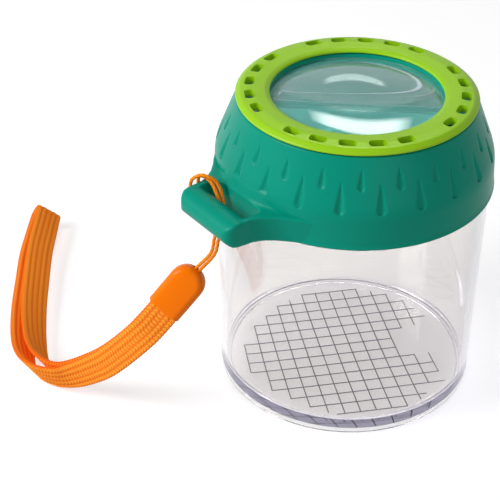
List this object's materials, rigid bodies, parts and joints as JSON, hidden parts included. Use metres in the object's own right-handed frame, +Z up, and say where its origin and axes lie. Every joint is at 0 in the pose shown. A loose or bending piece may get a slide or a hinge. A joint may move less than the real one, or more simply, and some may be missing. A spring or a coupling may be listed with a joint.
{
  "type": "bug catcher jar",
  "caption": "Clear viewing jar with a measuring grid in its base, a screw lid with a magnifying lens and air slots, and a webbing carry loop hitched to the lid's lug.",
  "frame": {"origin": "centre of the cup's foot ring, on the plane the jar stands on", "axes": "+Z up along the jar's axis, -X from the axis to the lid's lug, +Y the way the carry loop lies"},
  "size_m": [0.1385, 0.1712, 0.1005],
  "materials": {
    "clear_plastic": "clear moulded styrene, faint violet",
    "grid_print": "thin printed ink",
    "teal_plastic": "satin moulded plastic",
    "lime_plastic": "satin moulded plastic",
    "lens_plastic": "clear polished acrylic",
    "retainer_plastic": "satin moulded plastic",
    "cord_fibre": "thin braided polyester",
    "clip_plastic": "satin moulded plastic",
    "webbing": "knitted polyester webbing"
  },
  "bodies": {
    "jar": {"cup": "clear_plastic", "measuring_grid": "grid_print"},
    "lens": {"lens": "lens_plastic"},
    "lid": {"lid_shell": "teal_plastic", "vent_ring": "lime_plastic", "lens_retainer": "retainer_plastic", "hitch_cord": "cord_fibre", "cord_knot": "cord_fibre", "strap_clip": "clip_plastic", "webbing_loop": "webbing"}
  },
  "joints": [
    {"name": "lid_lift", "type": "slide", "parent": "jar", "child": "lens", "axis": [0, 0, 1], "range_m": [0, 0.0201]},
    {"name": "lid_turn", "type": "hinge", "parent": "lens", "child": "lid", "pos_m": [0, 0, 0.0712], "axis": [0, 0, 1], "range_deg": [0, 360]}
  ],
  "couplings": [
    {"joint": "lid_lift", "follows": "lid_turn", "m_per_rad": 0.0031831}
  ]
}
